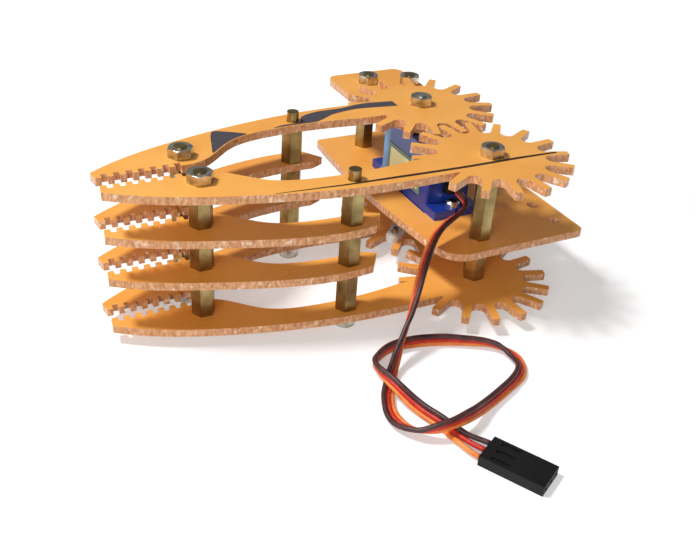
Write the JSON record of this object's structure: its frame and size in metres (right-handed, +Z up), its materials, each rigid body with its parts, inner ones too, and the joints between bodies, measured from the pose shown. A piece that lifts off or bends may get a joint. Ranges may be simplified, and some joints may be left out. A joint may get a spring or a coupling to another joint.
{
  "type": "robot claw gripper",
  "caption": "Two-jaw robot claw of stacked acrylic plates with meshed gears on its jaws, turned by a small servo on a base plate.",
  "frame": {"origin": "on the surface that the claw rests on, midway between the two jaw pivots", "axes": "+X points along the closed jaws to their tips, +Y to the idle near jaw's pivot, +Z up along the pivots"},
  "size_m": [0.1213, 0.1373, 0.0426],
  "materials": {
    "orange_acrylic": "glossy",
    "brass_standoff": "satin",
    "nickel_screw": "satin",
    "servo_blue": "glossy, slightly translucent",
    "label_paper": "satin",
    "horn_white": "satin",
    "shaft_white": "satin",
    "lead_rubber": "satin",
    "connector_black": "satin"
  },
  "bodies": {
    "base": {"base_plate": "orange_acrylic", "far_pivot_nut": "nickel_screw", "far_pivot_screw": "nickel_screw", "far_pivot_washer": "horn_white", "lead_connector": "connector_black", "near_pivot_long_standoff": "brass_standoff", "near_pivot_nut": "nickel_screw", "near_pivot_screw": "nickel_screw", "near_pivot_short_standoff": "brass_standoff", "servo_back_cover": "servo_blue", "servo_case": "servo_blue", "servo_cover_screws": "nickel_screw", "servo_gear_cover": "servo_blue", "servo_label": "label_paper", "servo_lead": "lead_rubber", "servo_lead_grommet": "connector_black", "servo_mounting_nuts": "nickel_screw", "servo_mounting_screws": "nickel_screw", "support_post_nuts": "nickel_screw", "support_post_screws": "nickel_screw", "support_posts": "brass_standoff", "upper_plate": "orange_acrylic"},
    "far_jaw": {"far_jaw_bottom_plate": "orange_acrylic", "far_jaw_lower_middle_plate": "orange_acrylic", "far_jaw_middle_standoffs": "brass_standoff", "far_jaw_screws": "nickel_screw", "far_jaw_tip_nut": "nickel_screw", "far_jaw_tip_standoffs": "brass_standoff", "far_jaw_top_plate": "orange_acrylic", "far_jaw_upper_middle_plate": "orange_acrylic", "servo_centre_screw": "nickel_screw", "servo_horn": "horn_white", "servo_horn_screws": "nickel_screw", "servo_output_shaft": "shaft_white"},
    "near_jaw": {"near_jaw_bottom_plate": "orange_acrylic", "near_jaw_lower_middle_plate": "orange_acrylic", "near_jaw_middle_standoffs": "brass_standoff", "near_jaw_screws": "nickel_screw", "near_jaw_tip_nut": "nickel_screw", "near_jaw_tip_standoffs": "brass_standoff", "near_jaw_top_plate": "orange_acrylic", "near_jaw_upper_middle_plate": "orange_acrylic"}
  },
  "joints": [
    {"name": "far_jaw_swing", "type": "hinge", "parent": "base", "child": "far_jaw", "pos_m": [0, -0.0172, 0], "axis": [0, 0, 1], "range_deg": [-15, 1]},
    {"name": "near_jaw_swing", "type": "hinge", "parent": "base", "child": "near_jaw", "pos_m": [0, 0.0172, 0], "axis": [0, 0, 1], "range_deg": [-1, 15]}
  ],
  "couplings": [
    {"joint": "near_jaw_swing", "follows": "far_jaw_swing", "ratio": -1}
  ]
}
